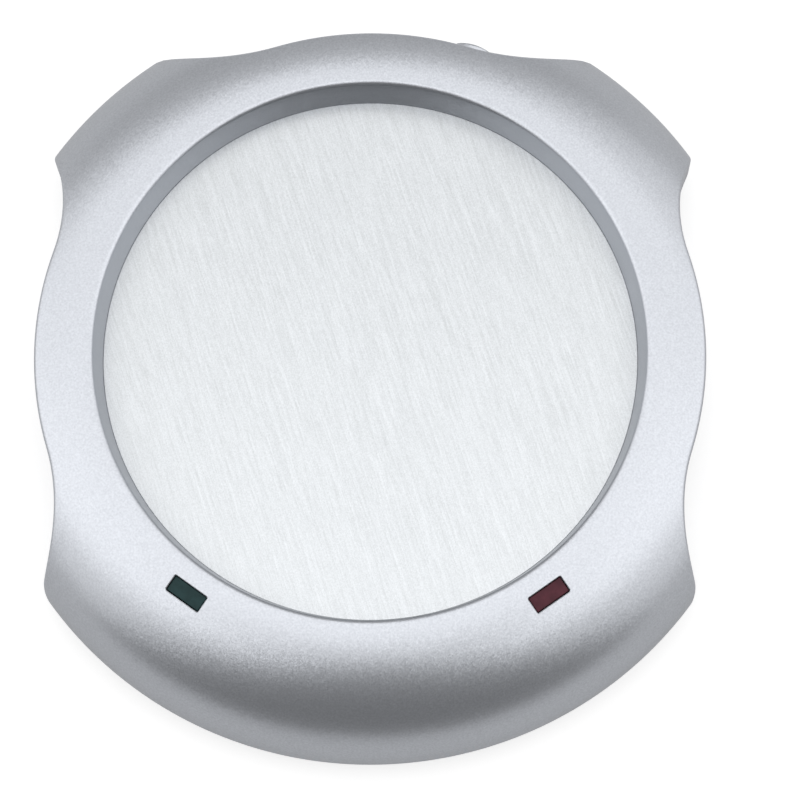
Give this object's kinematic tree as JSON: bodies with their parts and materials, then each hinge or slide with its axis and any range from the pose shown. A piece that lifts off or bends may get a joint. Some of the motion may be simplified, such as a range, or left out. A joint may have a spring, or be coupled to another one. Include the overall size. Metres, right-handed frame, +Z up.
{
  "type": "mug warmer",
  "caption": "Round electric mug warmer: brushed heating plate sunk in a silver ring with scooped sides, indicator windows and a rear push button.",
  "frame": {"origin": "middle of the footprint's bounding box, on the surface that the rubber feet stand on; the heating plate's axis is 4.7 mm behind it", "axes": "+Z up, -Y to the front with the two indicator windows, +X to the right seen from the front"},
  "size_m": [0.1134, 0.1262, 0.025],
  "materials": {
    "silver_shell": "satin silver paint on moulded plastic",
    "silver_button": "satin silver paint on moulded plastic",
    "dark_base": "fine spark-textured moulded plastic",
    "brushed_plate": "straight brushed, clear anodised",
    "silicone": "moulded silicone",
    "black_plastic": "moulded heat-resistant plastic",
    "white_plastic": "moulded plastic",
    "steel": "zinc plated",
    "zinc_sheet": "zinc-plated sheet",
    "mica": "pressed mica sheet",
    "element": "etched resistance ribbon",
    "brass": "stamped",
    "fibre": "ceramic fibre felt",
    "glass_sleeve": "varnished glass-fibre sleeve",
    "green_lens": "smoked green, polished",
    "red_lens": "smoked red, polished",
    "green_led": "clear epoxy",
    "red_led": "clear epoxy",
    "circuit_board": "solder mask",
    "resistor": "dipped enamel",
    "capacitor": "shrink sleeve",
    "tinned": "tinned",
    "rubber": "moulded rubber",
    "white_lead": "silicone insulation",
    "red_lead": "silicone insulation",
    "green_lead": "silicone insulation",
    "black_lead": "silicone insulation"
  },
  "bodies": {
    "housing": {"top_cover": "silver_shell", "base_cover": "dark_base", "heating_plate": "brushed_plate", "plate_gasket": "silicone", "plate_retainer": "black_plastic", "retainer_screws": "steel", "upper_mica": "mica", "heating_element": "element", "heater_tabs": "brass", "lower_mica": "mica", "insulation_pad": "fibre", "clamp_plate": "zinc_sheet", "clamp_screws": "steel", "thermostat": "white_plastic", "thermostat_strap": "zinc_sheet", "strap_screws": "steel", "thermal_fuse": "tinned", "fuse_sleeve": "glass_sleeve", "fuse_clip": "zinc_sheet", "green_lens": "green_lens", "red_lens": "red_lens", "green_led": "green_led", "red_led": "red_led", "led_board": "circuit_board", "led_board_screws": "steel", "led_resistors": "resistor", "capacitor": "capacitor", "rear_board": "circuit_board", "rear_board_screws": "steel", "switch_body": "black_plastic", "button_spring": "steel", "power_inlet": "black_plastic", "inlet_pin": "tinned", "case_screws": "steel", "foot_rear_left": "rubber", "foot_rear_right": "rubber", "foot_front_left": "rubber", "foot_front_right": "rubber", "thermostat_lead": "white_lead", "link_lead": "white_lead", "fuse_lead": "white_lead", "return_lead": "white_lead", "red_led_lead": "red_lead", "green_led_lead": "green_lead", "common_led_lead": "black_lead"},
    "button": {"power_button": "silver_button", "switch_plunger": "white_plastic"}
  },
  "joints": [
    {"name": "button_press", "type": "slide", "parent": "housing", "child": "button", "axis": [-0.2924, -0.9563, 0], "range_m": [0, 0.002], "stiffness_N_per_m": 400, "springref_m": -0.001, "deforming": ["button_spring"]}
  ]
}
